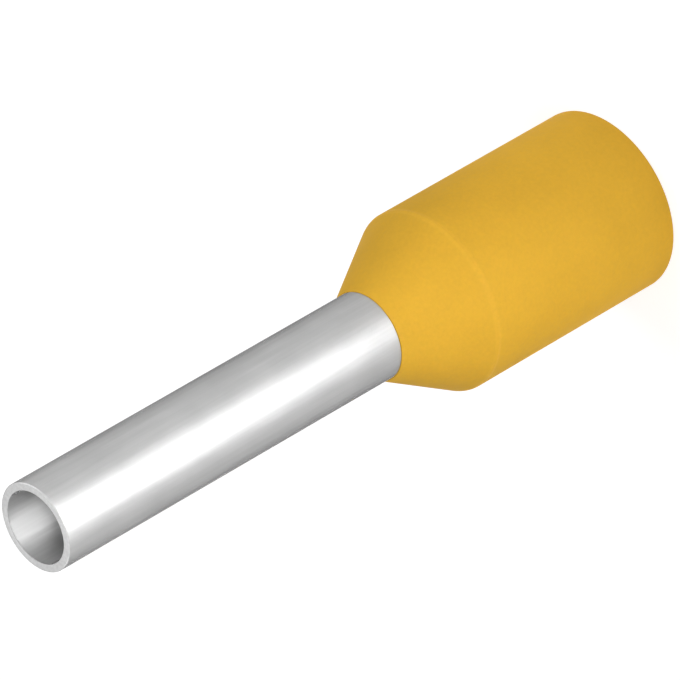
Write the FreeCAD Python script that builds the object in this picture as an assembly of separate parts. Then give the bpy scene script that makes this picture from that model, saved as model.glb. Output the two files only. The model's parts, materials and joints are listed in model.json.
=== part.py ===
import FreeCAD, Part

import math
import os

# Insulated wire ferrule for one stranded conductor of 1 square millimetre.
#
# A thin tin-plated copper sleeve runs through a moulded plastic collar. The strands go in
# at the collar's open end, where the insulation of the wire stops, and the bare sleeve is
# crimped and pushed into a terminal. The sleeve's inner end is belled out like a trumpet.
# The bell sits on a funnel in the collar, so the sleeve can't be pulled through, and the
# strands slide into the sleeve without catching.
#
# The part stands on the collar's open end. The origin is the centre of that end face, and
# +Z runs along the axis towards the sleeve's mouth. Lengths are in millimetres and angles
# in degrees. Both pieces are turned shapes, so each one is a section in the XZ plane, with
# X as the radius, carried round the Z axis.

# Copper sleeve
SLEEVE_BORE = 1.4
SLEEVE_WALL = 0.15
BARE_LENGTH = 8.0  # sleeve in front of the collar's nose
SEAT_DEPTH = 2.0  # sleeve inside the collar, from the nose to the rim of the bell
BELL_ANGLE = 45.0  # between the axis and the bell's side
BELL_REACH = 0.3  # how far the rim stands out past the sleeve's outer face
BELL_BEND = 0.3  # bend radius on the sleeve's outer face, where the bell begins
CUT_EDGE = 0.02  # rounding left on the sleeve's cut ends

# Plastic collar
COLLAR_LENGTH = 6.0
COLLAR_BORE = 3.0
COLLAR_WALL = 0.25
CONE_ANGLE = 30.0  # between the axis and the cone's side
NOSE_LIP = 0.02  # flat ring of plastic round the sleeve at the cone's tip
SHOULDER_ROUND = 0.04
END_ROUND = 0.03
ENTRY_ROUND = 0.08
FUNNEL_ROUND = 0.2

# Radii and heights that follow from the sizes above
SLEEVE_RADIUS = SLEEVE_BORE / 2 + SLEEVE_WALL
CHAMBER_RADIUS = COLLAR_BORE / 2
COLLAR_RADIUS = CHAMBER_RADIUS + COLLAR_WALL
NOSE_RADIUS = SLEEVE_RADIUS + NOSE_LIP
MOUTH_HEIGHT = COLLAR_LENGTH + BARE_LENGTH
RIM_HEIGHT = COLLAR_LENGTH - SEAT_DEPTH
CONE_HEIGHT = (COLLAR_RADIUS - NOSE_RADIUS) / math.tan(math.radians(CONE_ANGLE))
SHOULDER_HEIGHT = COLLAR_LENGTH - CONE_HEIGHT

OUT_FOLDER = "parts"
MATCH = 1e-6


def point(radius, height):
    """A point of a section."""
    return FreeCAD.Vector(radius, 0, height)


def line(start, end):
    """A straight edge of a section."""
    return Part.LineSegment(start, end).toShape()


def outline(points):
    """Straight edges through the points, in order."""
    return [line(start, end) for start, end in zip(points, points[1:])]


def turned(edges):
    """The solid that a closed section makes when it is carried round the axis."""
    section = Part.Face(Part.Wire(Part.__sortEdges__(edges)))
    return section.revolve(FreeCAD.Vector(), FreeCAD.Vector(0, 0, 1), 360)


def rings(solid, radius, height):
    """The circular edges of a solid at one radius and height."""
    found = []
    for edge in solid.Edges:
        curve = edge.Curve
        if not isinstance(curve, Part.Circle):
            continue
        if abs(curve.Radius - radius) < MATCH and abs(curve.Center.z - height) < MATCH:
            found.append(edge)
    return found


class BellLine:
    """The side of the sleeve in section, or a line beside it at a given depth.

    From the top down the line is straight, then bends outwards, then runs straight again
    along the bell. Depth 0 is the sleeve's outer face and the seat in the collar, and a
    depth of one wall is the sleeve's bore.
    """

    def __init__(self, depth, reach):
        """Works out the corners for a line that ends reach past the sleeve's outer face."""
        angle = math.radians(BELL_ANGLE)
        along = point(math.sin(angle), -math.cos(angle))
        inwards = point(-math.cos(angle), -math.sin(angle))
        bend_growth = BELL_BEND * (1 - math.cos(angle))
        rim_run = (BELL_REACH - bend_growth) / math.sin(angle)
        rim_drop = BELL_BEND * math.sin(angle) + rim_run * math.cos(angle)
        bend_height = RIM_HEIGHT + SLEEVE_WALL * math.sin(angle) + rim_drop
        centre = point(SLEEVE_RADIUS + BELL_BEND, bend_height)
        half_way = point(-math.cos(angle / 2), -math.sin(angle / 2))
        run = (reach - bend_growth) / math.sin(angle)
        self.bend_top = point(SLEEVE_RADIUS - depth, bend_height)
        self.bend_middle = centre + half_way * (BELL_BEND + depth)
        self.bend_end = centre + inwards * (BELL_BEND + depth)
        self.end = self.bend_end + along * run

    def edges(self, top_height):
        """The line as edges, from a height above the bend down to the line's end."""
        top = point(self.bend_top.x, top_height)
        bend = Part.Arc(self.bend_top, self.bend_middle, self.bend_end).toShape()
        return [line(top, self.bend_top), bend, line(self.bend_end, self.end)]


def copper_sleeve():
    """The thin drawn tube with its belled inner end."""
    outer = BellLine(0, BELL_REACH)
    bore = BellLine(SLEEVE_WALL, BELL_REACH)
    mouth = line(
        point(bore.bend_top.x, MOUTH_HEIGHT),
        point(outer.bend_top.x, MOUTH_HEIGHT),
    )
    rim = line(outer.end, bore.end)
    solid = turned([mouth, rim] + outer.edges(MOUTH_HEIGHT) + bore.edges(MOUTH_HEIGHT))
    cut_edges = (
        rings(solid, bore.bend_top.x, MOUTH_HEIGHT)
        + rings(solid, outer.bend_top.x, MOUTH_HEIGHT)
        + rings(solid, bore.end.x, bore.end.z)
        + rings(solid, outer.end.x, outer.end.z)
    )
    return solid.makeFillet(CUT_EDGE, cut_edges)


def plastic_collar():
    """The moulded collar: a cable chamber, a funnel that seats the bell, and a nose cone."""
    seat = BellLine(0, CHAMBER_RADIUS - SLEEVE_RADIUS)
    skin = outline(
        [
            seat.end,
            point(CHAMBER_RADIUS, 0),
            point(COLLAR_RADIUS, 0),
            point(COLLAR_RADIUS, SHOULDER_HEIGHT),
            point(NOSE_RADIUS, COLLAR_LENGTH),
            point(SLEEVE_RADIUS, COLLAR_LENGTH),
        ]
    )
    solid = turned(skin + seat.edges(COLLAR_LENGTH))
    rounds = (
        (SHOULDER_ROUND, COLLAR_RADIUS, SHOULDER_HEIGHT),
        (END_ROUND, COLLAR_RADIUS, 0),
        (ENTRY_ROUND, CHAMBER_RADIUS, 0),
        (FUNNEL_ROUND, CHAMBER_RADIUS, seat.end.z),
    )
    for size, radius, height in rounds:
        solid = solid.makeFillet(size, rings(solid, radius, height))
    return solid


def main():
    """Builds both pieces and writes each to its own file."""
    os.makedirs(OUT_FOLDER, exist_ok=True)
    pieces = {
        "copper_sleeve": copper_sleeve(),
        "plastic_collar": plastic_collar(),
    }
    for name, solid in pieces.items():
        solid.exportStep(os.path.join(OUT_FOLDER, f"{name}.step"))
        print(name, "valid", solid.isValid(), "volume", round(solid.Volume, 4))


main()
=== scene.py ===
import json
import logging
import math
from contextlib import contextmanager
from dataclasses import dataclass
from enum import Enum
from typing import Iterable, Iterator

import bmesh
import bpy
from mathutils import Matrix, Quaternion, Vector


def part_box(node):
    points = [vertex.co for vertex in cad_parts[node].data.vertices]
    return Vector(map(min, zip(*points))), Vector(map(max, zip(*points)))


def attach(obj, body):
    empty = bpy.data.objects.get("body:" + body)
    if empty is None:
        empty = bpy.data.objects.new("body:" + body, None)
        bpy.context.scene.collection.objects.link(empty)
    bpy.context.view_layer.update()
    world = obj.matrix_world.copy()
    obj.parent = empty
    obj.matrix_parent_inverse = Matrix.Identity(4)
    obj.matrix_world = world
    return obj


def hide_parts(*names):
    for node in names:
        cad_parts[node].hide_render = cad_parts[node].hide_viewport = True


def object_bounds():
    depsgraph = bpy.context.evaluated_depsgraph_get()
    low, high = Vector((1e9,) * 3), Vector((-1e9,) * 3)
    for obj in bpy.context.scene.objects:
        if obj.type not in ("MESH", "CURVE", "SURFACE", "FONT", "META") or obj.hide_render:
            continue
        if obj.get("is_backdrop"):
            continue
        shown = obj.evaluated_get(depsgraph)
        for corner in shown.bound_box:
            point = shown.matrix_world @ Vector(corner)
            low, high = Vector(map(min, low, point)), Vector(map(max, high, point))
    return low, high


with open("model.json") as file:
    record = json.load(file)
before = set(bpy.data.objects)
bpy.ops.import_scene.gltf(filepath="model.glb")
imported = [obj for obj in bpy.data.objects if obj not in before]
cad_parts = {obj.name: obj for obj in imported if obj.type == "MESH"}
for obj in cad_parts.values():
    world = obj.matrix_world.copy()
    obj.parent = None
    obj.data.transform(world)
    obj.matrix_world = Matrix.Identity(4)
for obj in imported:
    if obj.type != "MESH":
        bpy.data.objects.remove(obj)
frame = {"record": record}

# A wire ferrule: a tin-plated copper sleeve with a belled inner end, in a moulded plastic
# collar. Both pieces are turned shapes about Z. Sizes are in metres, and MM turns
# millimetres into metres.

MM = 0.001
DEG = math.pi / 180

ROUND_STEPS = 192  # faces round the axis
MATCH = 2e-6  # how near a corner lies to the ring it belongs to
SMOOTH_ANGLE = 32 * DEG

SLEEVE_WALL = 0.15 * MM
RIM_HEIGHT = 4.0 * MM  # the lowest point of the sleeve's bell

NOISE_LOW = 0.3  # a noise texture seldom leaves these two values
NOISE_HIGH = 0.7

log = logging.getLogger("ferrule")


class Axis(Enum):
    """Whether a pattern runs along the part's axis or the same way in all directions."""

    ALONG = (1.0, 1.0, 0.035)
    EVEN = (1.0, 1.0, 1.0)


def deselect_everything() -> None:
    """Leaves edit mode and deselects every object."""
    if bpy.context.object and bpy.context.object.mode != "OBJECT":
        bpy.ops.object.mode_set(mode="OBJECT")
    bpy.ops.object.select_all(action="DESELECT")


@contextmanager
def editing(piece: bpy.types.Object) -> Iterator[None]:
    """Opens a piece in edit mode with nothing in it selected, and closes it again.

    Args:
        piece: the mesh object to edit.
    """
    deselect_everything()
    piece.select_set(True)
    bpy.context.view_layer.objects.active = piece
    bpy.ops.object.mode_set(mode="EDIT")
    bpy.ops.mesh.select_all(action="DESELECT")
    try:
        yield
    finally:
        bpy.ops.object.mode_set(mode="OBJECT")


def on_ring(points: Iterable[bmesh.types.BMVert], ring: tuple[float, float]) -> bool:
    """Tells whether points lie on a ring about the Z axis.

    Args:
        points: the corners of an edge or a face.
        ring: radius and height of the ring.

    Returns:
        True where all of them lie on it.
    """
    radius, height = ring
    return all(
        abs(math.hypot(point.co.x, point.co.y) - radius) < MATCH
        and abs(point.co.z - height) < MATCH
        for point in points
    )


def select_rings(piece: bpy.types.Object, rings: list[tuple[float, float]]) -> None:
    """Selects the edges that lie on rings about the Z axis, and nothing else.

    Args:
        piece: the mesh object, open in edit mode.
        rings: the radius and height of each ring.
    """
    bpy.ops.mesh.select_mode(type="EDGE")
    bpy.ops.mesh.select_all(action="DESELECT")
    mesh = bmesh.from_edit_mesh(piece.data)
    for edge in mesh.edges:
        if any(on_ring(edge.verts, ring) for ring in rings):
            edge.select_set(True)
    bmesh.update_edit_mesh(piece.data)


def select_disc(piece: bpy.types.Object, radius: float, height: float) -> None:
    """Selects the flat face across the axis that has a given radius and height.

    Args:
        piece: the mesh object, open in edit mode.
        radius: distance of the face's corners from the Z axis.
        height: height of the face.
    """
    bpy.ops.mesh.select_mode(type="FACE")
    bpy.ops.mesh.select_all(action="DESELECT")
    mesh = bmesh.from_edit_mesh(piece.data)
    for face in mesh.faces:
        if on_ring(face.verts, (radius, height)):
            face.select_set(True)
    bmesh.update_edit_mesh(piece.data)


def round_off(
    piece: bpy.types.Object, ring: tuple[float, float], radius: float, turn: float, steps: int
) -> None:
    """Rounds a ring of edges with an arc.

    Args:
        piece: the mesh object, open in edit mode.
        ring: radius and height of the ring of edges.
        radius: radius of the arc.
        turn: angle that the surface turns through at the ring.
        steps: faces along the arc.
    """
    select_rings(piece, [ring])
    bpy.ops.mesh.bevel(
        offset_type="OFFSET",
        offset=radius * math.tan(turn / 2),
        segments=steps,
        profile=0.5,
        affect="EDGES",
        clamp_overlap=False,
    )


def slide(length: float) -> dict[str, tuple[float, float, float]]:
    """The settings that make an extrude move its new part along Z by a length."""
    return {"value": (0.0, 0.0, length)}


def resize_about_axis(factor: float) -> None:
    """Moves what is selected nearer to the Z axis or further from it, by a factor."""
    bpy.ops.transform.resize(value=(factor, factor, 1.0), center_override=(0.0, 0.0, 0.0))


def add_cylinder(name: str, radius: float, low: float, high: float, ends: str) -> bpy.types.Object:
    """Adds the cylinder that a piece is modelled from.

    Args:
        name: the piece's name.
        radius: radius of the cylinder.
        low: height of its lower end.
        high: height of its upper end.
        ends: how Blender fills its ends, NOTHING or NGON.

    Returns:
        The cylinder as a mesh object.
    """
    deselect_everything()
    bpy.ops.mesh.primitive_cylinder_add(
        vertices=ROUND_STEPS,
        radius=radius,
        depth=high - low,
        end_fill_type=ends,
        location=(0.0, 0.0, (high + low) / 2),
    )
    piece = bpy.context.object
    piece.name = name
    bpy.ops.object.transform_apply(location=True)
    return piece


def finish_mesh(piece: bpy.types.Object) -> None:
    """Points the faces outwards and gives them smooth shading that keeps flats flat.

    Args:
        piece: the mesh object, out of edit mode.
    """
    with editing(piece):
        bpy.ops.mesh.select_all(action="SELECT")
        bpy.ops.mesh.remove_doubles(threshold=MATCH / 10)
        bpy.ops.mesh.normals_make_consistent(inside=False)
    deselect_everything()
    piece.select_set(True)
    bpy.context.view_layer.objects.active = piece
    bpy.ops.object.transform_apply(location=True, rotation=True, scale=True)
    bpy.ops.object.shade_smooth_by_angle(angle=SMOOTH_ANGLE)
    weigh = piece.modifiers.new("flats_stay_flat", "WEIGHTED_NORMAL")
    weigh.keep_sharp = True
    bpy.ops.object.modifier_apply(modifier=weigh.name)


@dataclass(frozen=True)
class BellSide:
    """The side of the sleeve in section, where it turns outwards into the bell.

    It is a straight line down the sleeve, a bend, and a straight line along the bell. The
    collar's seat is the same line, carried on to the wall of the chamber.
    """

    sleeve_radius: float
    wall: float
    rim_height: float
    reach: float = 0.3 * MM
    angle: float = 45.0 * DEG
    bend: float = 0.3 * MM
    bend_steps: int = 8

    @property
    def corner(self) -> tuple[float, float]:
        """Radius and height of the corner that the bend rounds off."""
        return self.sleeve_radius, self.outer_rim[1] + self.reach / math.tan(self.angle)

    @property
    def outer_rim(self) -> tuple[float, float]:
        """Radius and height of the outer edge of the bell's rim."""
        return self.sleeve_radius + self.reach, self.rim_height + self.wall * math.sin(self.angle)

    @property
    def inner_rim(self) -> tuple[float, float]:
        """Radius and height of the inner edge of the bell's rim."""
        return self.outer_rim[0] - self.wall * math.cos(self.angle), self.rim_height

    def height_at(self, radius: float) -> float:
        """Height at which the bell's side, carried on in a straight line, has a radius."""
        return self.corner[1] - (radius - self.sleeve_radius) / math.tan(self.angle)


def add_math(
    tree: bpy.types.NodeTree, operation: str, *values: bpy.types.NodeSocket | float
) -> bpy.types.NodeSocket:
    """Adds a Math node.

    Args:
        tree: the node tree that gets it.
        operation: what it works out.
        values: its inputs in order, each a number or the socket that gives the number.

    Returns:
        The node's output.
    """
    node = tree.nodes.new("ShaderNodeMath")
    node.operation = operation
    for socket, value in zip(node.inputs, values):
        if isinstance(value, bpy.types.NodeSocket):
            tree.links.new(value, socket)
        else:
            socket.default_value = value
    return node.outputs[0]


def add_spread(
    tree: bpy.types.NodeTree, source: bpy.types.NodeSocket, middle: float, amount: float
) -> bpy.types.NodeSocket:
    """Turns a variation about 0.5 into one about another middle.

    Args:
        tree: the node tree that gets the node.
        source: the variation.
        middle: the new middle.
        amount: how far it goes to either side of the middle.

    Returns:
        The new variation.
    """
    node = tree.nodes.new("ShaderNodeMapRange")
    node.inputs["From Min"].default_value = NOISE_LOW
    node.inputs["From Max"].default_value = NOISE_HIGH
    node.inputs["To Min"].default_value = middle - amount
    node.inputs["To Max"].default_value = middle + amount
    tree.links.new(source, node.inputs["Value"])
    return node.outputs["Result"]


def add_seen_directly(tree: bpy.types.NodeTree) -> bpy.types.NodeSocket:
    """Adds nodes that are 1 for what the camera sees, straight or in gloss or glass.

    Args:
        tree: the node tree of the material or world.

    Returns:
        The socket that gives 1 for those rays and 0 for others.
    """
    path = tree.nodes.new("ShaderNodeLightPath")
    total = path.outputs["Is Camera Ray"]
    for name in ("Is Glossy Ray", "Is Transmission Ray"):
        total = add_math(tree, "MAXIMUM", total, path.outputs[name])
    return total


class SharedGroup:
    """A shader node group that both finishes use. It is built once."""

    NAME: str
    VECTORS: tuple[str, ...] = ("Position",)
    NUMBERS: tuple[str, ...]
    OUTPUTS: tuple[str, ...]

    @classmethod
    def wire(
        cls,
        tree: bpy.types.NodeTree,
        given: bpy.types.NodeOutputs,
        result: bpy.types.NodeInputs,
    ) -> None:
        """Adds the nodes between the group's inputs and its outputs.

        Args:
            tree: the group.
            given: the sockets that give the group's inputs.
            result: the sockets that take the group's outputs.
        """
        raise NotImplementedError

    @classmethod
    def get(cls) -> bpy.types.NodeTree:
        """Gives the group, and builds it the first time.

        Returns:
            The node group.
        """
        made = bpy.data.node_groups.get(cls.NAME)
        if made:
            return made
        group = bpy.data.node_groups.new(cls.NAME, "ShaderNodeTree")
        for names, side, kind in (
            (cls.VECTORS, "INPUT", "NodeSocketVector"),
            (cls.NUMBERS, "INPUT", "NodeSocketFloat"),
            (cls.OUTPUTS, "OUTPUT", "NodeSocketFloat"),
        ):
            for name in names:
                group.interface.new_socket(name, in_out=side, socket_type=kind)
        inside = group.nodes.new("NodeGroupInput")
        outside = group.nodes.new("NodeGroupOutput")
        cls.wire(group, inside.outputs, outside.inputs)
        return group

    @classmethod
    def add_to(
        cls,
        tree: bpy.types.NodeTree,
        position: bpy.types.NodeSocket,
        values: dict[str, float | tuple[float, float, float]],
    ) -> bpy.types.Node:
        """Adds the group to a material.

        Args:
            tree: the material's node tree.
            position: the socket that gives the place on the surface.
            values: the values of its other inputs, by their names.

        Returns:
            The group's node.
        """
        node = tree.nodes.new("ShaderNodeGroup")
        node.node_tree = cls.get()
        tree.links.new(position, node.inputs["Position"])
        for name, value in values.items():
            node.inputs[name].default_value = value
        return node


class TextureGroup(SharedGroup):
    """The node group that both finishes take their small variations from.

    Its inputs are Position, Stretch, Size and Seed. Its outputs are Cloud, which varies
    slowly, and Grain, which varies over Size. Both run from 0 to 1 about a middle of 0.5.
    """

    NAME = "surface_variation"
    VECTORS = ("Position", "Stretch")
    NUMBERS = ("Size", "Seed")
    OUTPUTS = ("Cloud", "Grain")

    GRAIN_SCALE = 1.0
    CLOUD_SCALE = 0.06
    NOISE_DETAIL = 2.0
    NOISE_ROUGHNESS = 0.55

    @classmethod
    def wire(
        cls,
        tree: bpy.types.NodeTree,
        given: bpy.types.NodeOutputs,
        result: bpy.types.NodeInputs,
    ) -> None:
        """Adds a stretched noise for Grain, and a larger one without stretch for Cloud.

        Args:
            tree: the group.
            given: the sockets that give the group's inputs.
            result: the sockets that take the group's outputs.
        """
        stretched = tree.nodes.new("ShaderNodeVectorMath")
        stretched.operation = "MULTIPLY"
        tree.links.new(given["Position"], stretched.inputs[0])
        tree.links.new(given["Stretch"], stretched.inputs[1])
        per_size = add_math(tree, "DIVIDE", 1.0, given["Size"])
        for output, source, scale in (
            ("Grain", stretched.outputs[0], cls.GRAIN_SCALE),
            ("Cloud", given["Position"], cls.CLOUD_SCALE),
        ):
            noise = tree.nodes.new("ShaderNodeTexNoise")
            noise.noise_dimensions = "4D"
            noise.inputs["Detail"].default_value = cls.NOISE_DETAIL
            noise.inputs["Roughness"].default_value = cls.NOISE_ROUGHNESS
            tree.links.new(source, noise.inputs["Vector"])
            tree.links.new(add_math(tree, "MULTIPLY", per_size, scale), noise.inputs["Scale"])
            tree.links.new(given["Seed"], noise.inputs["W"])
            tree.links.new(noise.outputs["Fac"], result[output])


class PaintedLightRingGroup(SharedGroup):
    """The node group that finds the ring of either piece where light is painted into the colour.

    Its inputs are Position, Ring Radius, Ring Width, Ring Height, Reach and Break Up. Its
    output is the mask of that painted light, which is 1 on the ring and falls to 0 at Reach from
    it, and which a low Break Up thins by up to a third.
    """

    NAME = "ring_of_painted_light"
    NUMBERS = ("Ring Radius", "Ring Width", "Ring Height", "Reach", "Break Up")
    OUTPUTS = ("Painted Light",)

    WHOLE_TO = 0.5  # share of the reach over which the painted light doesn't fall off
    BREAK_UP = 0.67  # the painted light is this share at a Break Up of 0, and twice as much at 1

    @classmethod
    def wire(
        cls,
        tree: bpy.types.NodeTree,
        given: bpy.types.NodeOutputs,
        result: bpy.types.NodeInputs,
    ) -> None:
        """Adds the distance from the ring, its fall-off and its break-up.

        Args:
            tree: the group.
            given: the sockets that give the group's inputs.
            result: the sockets that take the group's outputs.
        """

        def add_length(*sides: bpy.types.NodeSocket) -> bpy.types.NodeSocket:
            """Adds the length of a line from its two sides at right angles."""
            squares = (add_math(tree, "MULTIPLY", side, side) for side in sides)
            return add_math(tree, "SQRT", add_math(tree, "ADD", *squares))

        apart = tree.nodes.new("ShaderNodeSeparateXYZ")
        tree.links.new(given["Position"], apart.inputs[0])
        from_axis = add_length(apart.outputs["X"], apart.outputs["Y"])
        past_middle = add_math(tree, "SUBTRACT", from_axis, given["Ring Radius"])
        from_middle = add_math(tree, "ABSOLUTE", past_middle)
        half_width = add_math(tree, "MULTIPLY", given["Ring Width"], 0.5)
        past_side = add_math(tree, "SUBTRACT", from_middle, half_width)
        across = add_math(tree, "MAXIMUM", past_side, 0.0)
        along = add_math(tree, "SUBTRACT", apart.outputs["Z"], given["Ring Height"])
        distance = add_math(tree, "DIVIDE", add_length(across, along), given["Reach"])
        near = tree.nodes.new("ShaderNodeMapRange")
        near.interpolation_type = "SMOOTHSTEP"
        near.inputs["From Min"].default_value = cls.WHOLE_TO
        near.inputs["To Min"].default_value = 1.0
        near.inputs["To Max"].default_value = 0.0
        tree.links.new(distance, near.inputs["Value"])
        whole = add_math(tree, "MULTIPLY_ADD", given["Break Up"], cls.BREAK_UP, cls.BREAK_UP)
        painted_light_mask = add_math(tree, "MULTIPLY", near.outputs["Result"], whole)
        tree.links.new(painted_light_mask, result["Painted Light"])


@dataclass(frozen=True)
class FineTexture:
    """The pattern that a finish varies in: its scale, its direction and its seed."""

    size: float
    axis: Axis
    seed: float


@dataclass(frozen=True)
class PaintedLightRing:
    """A ring round the axis where light is painted into the surface's colour.

    The ring has a middle radius, a width across the axis and a height. The painted light is whole
    on it and ends at the reach from it. It makes the surface lighter, which is painted light, and
    rougher or, where the number is negative, smoother.
    """

    radius: float
    width: float
    height: float
    reach: float
    lighter: float
    rougher: float


@dataclass(frozen=True)
class Finish:
    """A surface finish: its colour, its gloss and how both vary over the surface."""

    name: str
    colour: tuple[float, float, float]
    colour_spread: float
    metallic: float
    specular: float
    roughness: float
    roughness_spread: float
    edge_tint: float
    texture: FineTexture
    bump_height: float
    painted_light_ring: PaintedLightRing

    def material(self) -> bpy.types.Material:
        """Builds the finish as a node material.

        Returns:
            The material, with a Principled BSDF that the two shared groups vary.
        """
        made = bpy.data.materials.new(self.name)
        made.use_nodes = True
        tree = made.node_tree
        shader = tree.nodes["Principled BSDF"]
        shader.inputs["Metallic"].default_value = self.metallic
        shader.inputs["Specular IOR Level"].default_value = self.specular
        shader.inputs["Specular Tint"].default_value = (self.edge_tint,) * 3 + (1.0,)
        place = tree.nodes.new("ShaderNodeTexCoord").outputs["Object"]
        pattern = {
            "Stretch": self.texture.axis.value,
            "Size": self.texture.size,
            "Seed": self.texture.seed,
        }
        vary = TextureGroup.add_to(tree, place, pattern).outputs
        ring = {
            "Ring Radius": self.painted_light_ring.radius,
            "Ring Width": self.painted_light_ring.width,
            "Ring Height": self.painted_light_ring.height,
            "Reach": self.painted_light_ring.reach,
        }
        # the ring where light is painted: its mask lightens the colour and changes the roughness
        painted_light_ring = PaintedLightRingGroup.add_to(tree, place, ring)
        tree.links.new(vary["Grain"], painted_light_ring.inputs["Break Up"])
        painted_light_mask = painted_light_ring.outputs["Painted Light"]

        cloud = add_spread(tree, vary["Cloud"], 1.0, self.colour_spread)
        grain = add_spread(tree, vary["Grain"], 1.0, self.colour_spread)
        tone = add_math(tree, "MULTIPLY", cloud, grain)
        colour = tree.nodes.new("ShaderNodeVectorMath")
        colour.operation = "SCALE"
        colour.inputs[0].default_value = self.colour
        # painted light: the colour is made lighter on the ring
        painted_light_tone = add_math(tree, "MULTIPLY_ADD", painted_light_mask, self.painted_light_ring.lighter, tone)
        tree.links.new(painted_light_tone, colour.inputs["Scale"])
        tree.links.new(colour.outputs["Vector"], shader.inputs["Base Color"])

        rough = add_spread(tree, vary["Grain"], self.roughness, self.roughness_spread)
        ring_roughness = add_math(tree, "MULTIPLY_ADD", painted_light_mask, self.painted_light_ring.rougher, rough)
        tree.links.new(ring_roughness, shader.inputs["Roughness"])

        bump = tree.nodes.new("ShaderNodeBump")
        bump.inputs["Strength"].default_value = 1.0
        bump.inputs["Distance"].default_value = self.bump_height
        tree.links.new(vary["Grain"], bump.inputs["Height"])
        tree.links.new(bump.outputs["Normal"], shader.inputs["Normal"])
        return made


TIN_PLATE = Finish(
    name="tin_plate",
    colour=(0.45, 0.45, 0.45),
    colour_spread=0.06,
    metallic=1.0,
    specular=0.5,
    roughness=0.50,
    roughness_spread=0.02,
    edge_tint=0.0,
    texture=FineTexture(size=0.07 * MM, axis=Axis.ALONG, seed=3.0),
    bump_height=0.0002 * MM,
    # painted light: the mouth's end face is painted lighter, in place of the light that falls on
    # the upturned face; it is also smoother there
    painted_light_ring=PaintedLightRing(
        radius=0.765 * MM,
        width=0.13 * MM,
        height=14.0 * MM,
        reach=0.012 * MM,
        lighter=0.45,
        rougher=-0.17,
    ),
)

COLLAR_PLASTIC = Finish(
    name="moulded_yellow_plastic",
    colour=(0.715, 0.404, 0.0360),
    colour_spread=0.03,
    metallic=0.0,
    specular=0.10,
    roughness=0.72,
    roughness_spread=0.06,
    edge_tint=1.0,
    texture=FineTexture(size=0.07 * MM, axis=Axis.EVEN, seed=8.0),
    bump_height=0.0025 * MM,
    # painted highlight: a faint lighter line along the shoulder's edge, where the rounded edge
    # catches the light; the plastic is also smoother there
    painted_light_ring=PaintedLightRing(
        radius=1.75 * MM,
        width=0.0,
        height=4.476 * MM,
        reach=0.08 * MM,
        lighter=0.04,
        rougher=-0.15,
    ),
)


@dataclass
class Sleeve:
    """The drawn tube of tin-plated copper, belled at its inner end.

    Its mouth is sheared off, so the inner lip there stays sharp and the other cut edges
    are slightly round.
    """

    bell: BellSide
    mouth_height: float
    cut_edge: float = 0.02 * MM
    cut_steps: int = 4

    def build(self) -> bpy.types.Object:
        """Models the sleeve from an open cylinder.

        Returns:
            The sleeve as a mesh object.
        """
        bell = self.bell
        radius, corner = bell.corner
        rim_radius, rim_height = bell.outer_rim
        piece = add_cylinder("ferrule_sleeve", radius, corner, self.mouth_height, "NOTHING")
        with editing(piece):
            select_rings(piece, [bell.corner])
            bpy.ops.mesh.extrude_region_move(TRANSFORM_OT_translate=slide(rim_height - corner))
            resize_about_axis(rim_radius / radius)
            round_off(piece, bell.corner, bell.bend, bell.angle, bell.bend_steps)
        wall = piece.modifiers.new("wall", "SOLIDIFY")
        wall.thickness = bell.wall
        wall.offset = -1.0
        wall.use_even_offset = True
        bpy.ops.object.modifier_apply(modifier=wall.name)
        with editing(piece):
            for ring in ((radius, self.mouth_height), bell.outer_rim, bell.inner_rim):
                round_off(piece, ring, self.cut_edge, math.pi / 2, self.cut_steps)
        finish_mesh(piece)
        return piece

    def dress(self, piece: bpy.types.Object) -> None:
        """Gives the sleeve its finish and its place in the part.

        Args:
            piece: the sleeve's mesh object.
        """
        piece.data.materials.clear()
        piece.data.materials.append(TIN_PLATE.material())
        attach(piece, "root")
        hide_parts("copper_sleeve")


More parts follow.
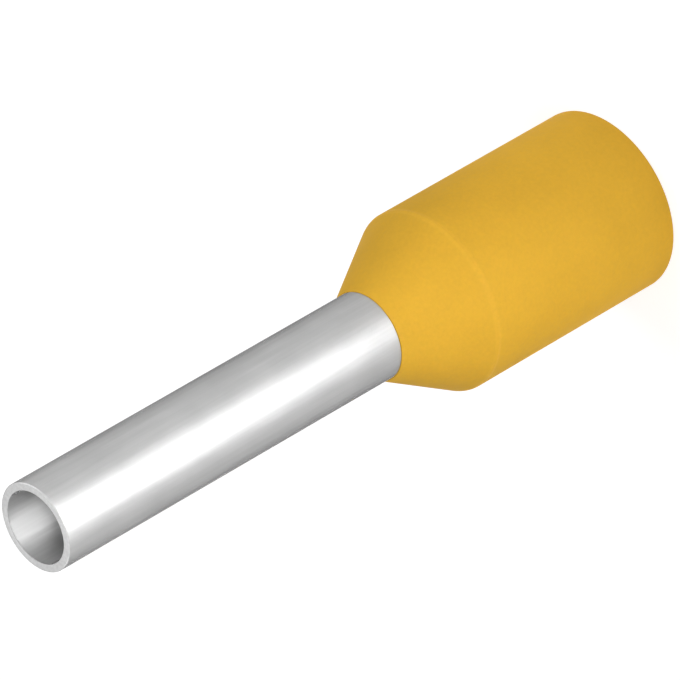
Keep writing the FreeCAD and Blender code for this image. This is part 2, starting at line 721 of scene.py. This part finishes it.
@dataclass
class Collar:
    """The moulded plastic collar, with its nose cone, chamber and funnel."""

    bell: BellSide
    radius: float
    length: float
    chamber_radius: float
    cone_angle: float = 30.0 * DEG
    nose_lip: float = 0.02 * MM
    shoulder_round: float = 0.04 * MM
    end_round: float = 0.03 * MM
    entry_round: float = 0.08 * MM
    funnel_round: float = 0.2 * MM
    shoulder_steps: int = 3
    round_steps: int = 5

    def build(self) -> bpy.types.Object:
        """Models the collar from a closed cylinder.

        Returns:
            The collar as a mesh object.
        """
        bell = self.bell
        bore, corner = bell.corner
        nose = bore + self.nose_lip
        cone_height = (self.radius - nose) / math.tan(self.cone_angle)
        shoulder = self.length - cone_height
        funnel_top = bell.height_at(self.chamber_radius)
        piece = add_cylinder("ferrule_collar", self.radius, 0.0, shoulder, "NGON")
        with editing(piece):
            select_disc(piece, self.radius, shoulder)
            bpy.ops.mesh.extrude_region_move(TRANSFORM_OT_translate=slide(cone_height))
            resize_about_axis(nose / self.radius)
            bpy.ops.mesh.inset(thickness=self.nose_lip, use_even_offset=True)
            bpy.ops.mesh.delete(type="ONLY_FACE")
            select_disc(piece, self.radius, 0.0)
            wall = self.radius - self.chamber_radius
            bpy.ops.mesh.inset(thickness=wall, use_even_offset=True)
            bpy.ops.mesh.extrude_region_move(TRANSFORM_OT_translate=slide(funnel_top))
            bpy.ops.mesh.extrude_region_move(TRANSFORM_OT_translate=slide(corner - funnel_top))
            resize_about_axis(bore / self.chamber_radius)
            bpy.ops.mesh.delete(type="ONLY_FACE")
            select_rings(piece, [(bore, corner), (bore, self.length)])
            bpy.ops.mesh.bridge_edge_loops()
            outer, inner = self.radius, self.chamber_radius
            for ring, size, turn, steps in (
                ((outer, shoulder), self.shoulder_round, self.cone_angle, self.shoulder_steps),
                ((outer, 0.0), self.end_round, math.pi / 2, self.round_steps),
                ((inner, 0.0), self.entry_round, math.pi / 2, self.round_steps),
                ((inner, funnel_top), self.funnel_round, bell.angle, self.round_steps),
                (bell.corner, bell.bend, bell.angle, bell.bend_steps),
            ):
                round_off(piece, ring, size, turn, steps)
        finish_mesh(piece)
        return piece

    def dress(self, piece: bpy.types.Object) -> None:
        """Gives the collar its finish and its place in the part.

        Args:
            piece: the collar's mesh object.
        """
        piece.data.materials.clear()
        piece.data.materials.append(COLLAR_PLASTIC.material())
        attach(piece, "root")
        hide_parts("plastic_collar")


def direction(azimuth: float, elevation: float) -> Vector:
    """The direction from the part to a place round it.

    Args:
        azimuth: angle round the Z axis. At 0 the place lies towards -Y, and at 90 degrees
            towards +X.
        elevation: angle above the horizon.

    Returns:
        A vector of length 1.
    """
    flat = math.cos(elevation)
    return Vector((math.sin(azimuth) * flat, -math.cos(azimuth) * flat, math.sin(elevation)))


@dataclass(frozen=True)
class AimedLamp:
    """A lamp at a distance from what it shines on, in a direction."""

    name: str
    azimuth: float
    elevation: float
    distance: float

    def hang(self, data: bpy.types.Light, target: Vector) -> bpy.types.Object:
        """Adds the lamp to the scene.

        Args:
            data: the light itself.
            target: the point that the lamp shines on.

        Returns:
            The lamp as an object.
        """
        lamp = bpy.data.objects.new(self.name, data)
        bpy.context.scene.collection.objects.link(lamp)
        back = direction(self.azimuth, self.elevation)
        lamp.location = target + back * self.distance
        lamp.rotation_mode = "QUATERNION"
        lamp.rotation_quaternion = (-back).to_track_quat("-Z", "Y")
        return lamp


@dataclass(frozen=True)
class SoftLamp(AimedLamp):
    """A soft rectangular lamp that shines on the middle of the part."""

    width: float
    height: float
    radiance: float

    def place(self, target: Vector) -> None:
        """Adds the lamp to the scene.

        Args:
            target: the point that the lamp shines on.
        """
        data = bpy.data.lights.new(self.name, "AREA")
        data.shape = "RECTANGLE"
        data.size = self.width
        data.size_y = self.height
        data.energy = self.radiance * math.pi * self.width * self.height
        self.hang(data, target).visible_camera = False


@dataclass(frozen=True)
class SpotLamp(AimedLamp):
    """A spot lamp that throws a round patch of light on the floor or on the part."""

    patch_radius: float
    power: float
    lamp_radius: float
    softness: float

    def place(self, target: Vector) -> None:
        """Adds the lamp to the scene.

        Args:
            target: the middle of the patch of light.
        """
        data = bpy.data.lights.new(self.name, "SPOT")
        data.energy = self.power
        data.spot_size = 2 * math.atan(self.patch_radius / self.distance)
        data.spot_blend = self.softness
        data.shadow_soft_size = self.lamp_radius
        self.hang(data, target)


@dataclass(frozen=True)
class PhotoCamera:
    """The camera, which looks down on the part and is turned so that the sleeve points
    to the lower left."""

    azimuth: float = -0.08 * DEG
    elevation: float = 35.161 * DEG
    roll: float = -119.95 * DEG
    distance: float = 156.996 * MM
    aim: tuple[float, float, float] = (0.1797 * MM, -0.2148 * MM, 6.6955 * MM)
    frame_width: int = 680
    focal_pixels: float = 8969.0
    sensor_width: float = 36.0
    nearest: float = 0.01
    farthest: float = 10.0

    def place(self) -> None:
        """Adds the camera and makes it the scene's camera."""
        data = bpy.data.cameras.new("camera")
        data.sensor_width = self.sensor_width
        data.lens = self.focal_pixels / self.frame_width * self.sensor_width
        data.clip_start = self.nearest
        data.clip_end = self.farthest
        camera = bpy.data.objects.new("camera", data)
        bpy.context.scene.collection.objects.link(camera)
        back = direction(self.azimuth, self.elevation)
        camera.location = Vector(self.aim) + back * self.distance
        camera.rotation_mode = "QUATERNION"
        upright = (-back).to_track_quat("-Z", "Y")
        camera.rotation_quaternion = upright @ Quaternion((0.0, 0.0, 1.0), self.roll)
        bpy.context.scene.camera = camera


@dataclass(frozen=True)
class Studio:
    """The pale floor, the soft lamps and the world's light.

    The values of each soft lamp are its name, azimuth, elevation, distance, width, height
    and radiance. Those of each spot lamp are its name, azimuth, elevation, distance, patch
    radius, power, lamp radius and softness. The place of a patch is its azimuth and its
    distance from the part.
    """

    floor_size: float = 2.0
    floor_colour: tuple[float, float, float] = (0.55, 0.55, 0.55)
    floor_roughness: float = 0.9
    floor_glow: float = 0.638
    world_strength: float = 0.362
    lamps: tuple[SoftLamp, ...] = (
        SoftLamp("high_front", -19 * DEG, 60 * DEG, 0.15, 0.10, 0.06, 1.9),
        SoftLamp("low_front", -19 * DEG, 8 * DEG, 0.15, 0.13, 0.036, 4.3),
        SoftLamp("right", 60 * DEG, 45 * DEG, 0.15, 0.08, 0.06, 1.6),
        SoftLamp("right_back", 110 * DEG, 40 * DEG, 0.15, 0.06, 0.06, 5.5),
        SoftLamp("left_back", -130 * DEG, 30 * DEG, 0.15, 0.08, 0.06, 2.4),
    )
    near_patch: SpotLamp = SpotLamp(
        "near_patch", 0.0, 90 * DEG, 0.10, 12.0 * MM, 6.6, 2.0 * MM, 0.6
    )
    near_place: tuple[float, float] = (-11 * DEG, 28 * MM)
    far_patch: SpotLamp = SpotLamp(
        "far_patch", 0.0, 90 * DEG, 0.10, 14.0 * MM, 11.4, 2.0 * MM, 0.6
    )
    far_place: tuple[float, float] = (-20 * DEG, 38 * MM)
    mouth_light: SpotLamp = SpotLamp(
        "mouth_light", -9 * DEG, 36 * DEG, 0.06, 0.7 * MM, 1.6, 0.25 * MM, 1.0
    )
    mouth_light_rise: float = 0.24 * MM
    foot_lights: tuple[SpotLamp, ...] = (
        SpotLamp("left_foot_light", -65 * DEG, 15 * DEG, 0.10, 3.6 * MM, 0.09, 2.0 * MM, 1.0),
        SpotLamp("right_foot_light", 65 * DEG, 15 * DEG, 0.10, 3.6 * MM, 0.09, 2.0 * MM, 1.0),
    )

    def build_world(self) -> None:
        """Makes the world white to look at, and a softer light on the part."""
        world = bpy.data.worlds.new("studio")
        bpy.context.scene.world = world
        world.use_nodes = True
        tree = world.node_tree
        light = tree.nodes["Background"]
        light.inputs["Color"].default_value = (1.0, 1.0, 1.0, 1.0)
        strength = tree.nodes.new("ShaderNodeMapRange")
        strength.inputs["To Min"].default_value = self.world_strength
        strength.inputs["To Max"].default_value = 1.0
        tree.links.new(add_seen_directly(tree), strength.inputs["Value"])
        tree.links.new(strength.outputs["Result"], light.inputs["Strength"])

    def build_floor(self) -> None:
        """Makes the floor, which the part stands on and which is white to look at."""
        deselect_everything()
        bpy.ops.mesh.primitive_plane_add(size=self.floor_size, location=(0.0, 0.0, 0.0))
        floor = bpy.context.object
        floor.name = "floor"
        paint = bpy.data.materials.new("floor_paint")
        paint.use_nodes = True
        tree = paint.node_tree
        shader = tree.nodes["Principled BSDF"]
        shader.inputs["Base Color"].default_value = self.floor_colour + (1.0,)
        shader.inputs["Roughness"].default_value = self.floor_roughness
        shader.inputs["Specular IOR Level"].default_value = 0.0
        shader.inputs["Emission Color"].default_value = (1.0, 1.0, 1.0, 1.0)
        glow = add_math(tree, "MULTIPLY", add_seen_directly(tree), self.floor_glow)
        tree.links.new(glow, shader.inputs["Emission Strength"])
        floor.data.materials.append(paint)
        floor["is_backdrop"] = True

    def build(self, target: Vector, mouth: Vector) -> None:
        """Builds the whole studio.

        The two patches of light on the floor in front of the part are what its upright
        sleeve mirrors. The mouth's light shines over the front lip on to the bore, and the
        foot lights lift the low end of the collar, which the patches hardly reach.

        Args:
            target: the point that the soft lamps shine on.
            mouth: the middle of the sleeve's mouth.
        """
        self.build_world()
        self.build_floor()
        for lamp in self.lamps:
            lamp.place(target)
        for patch, (azimuth, distance) in (
            (self.near_patch, self.near_place),
            (self.far_patch, self.far_place),
        ):
            patch.place(direction(azimuth, 0.0) * distance)
        self.mouth_light.place(mouth + Vector((0.0, 0.0, self.mouth_light_rise)))
        for foot_light in self.foot_lights:
            foot_light.place(Vector((0.0, 0.0, 0.0)))


def mount_radius(name: str) -> float:
    """Finds the radius of one of the part's round mounts.

    Args:
        name: the mount's name in the record.

    Returns:
        Its radius in metres.

    Raises:
        KeyError: if the record has no mount of that name.
    """
    for mount in frame["record"]["mounts"]:
        if mount["name"] == name:
            return mount["dims"]["r_mm"] * MM
    raise KeyError(name)


def corners() -> list[list[float]]:
    """The lowest and highest corner of what is shown, as plain lists."""
    return [list(corner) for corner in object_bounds()]


def main() -> None:
    """Builds the part, the studio and the camera."""
    logging.basicConfig(level=logging.INFO, format="%(name)s: %(message)s")
    cad_box = corners()
    bpy.context.scene.view_settings.view_transform = "Standard"
    _, sleeve_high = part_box("copper_sleeve")
    _, collar_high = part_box("plastic_collar")
    bell = BellSide(
        sleeve_radius=mount_radius("conductor_bore") + SLEEVE_WALL,
        wall=SLEEVE_WALL,
        rim_height=RIM_HEIGHT,
    )
    sleeve = Sleeve(bell=bell, mouth_height=sleeve_high.z)
    collar = Collar(
        bell=bell,
        radius=collar_high.x,
        length=collar_high.z,
        chamber_radius=mount_radius("insulation_bore"),
    )
    for part in (sleeve, collar):
        piece = part.build()
        part.dress(piece)
        log.info("%s: %d faces", piece.name, len(piece.data.polygons))
    low, high = Vector(cad_box[0]), Vector(cad_box[1])
    PhotoCamera().place()
    Studio().build((low + high) / 2, Vector((0.0, 0.0, high.z)))


if __name__ == "__main__":
    main()
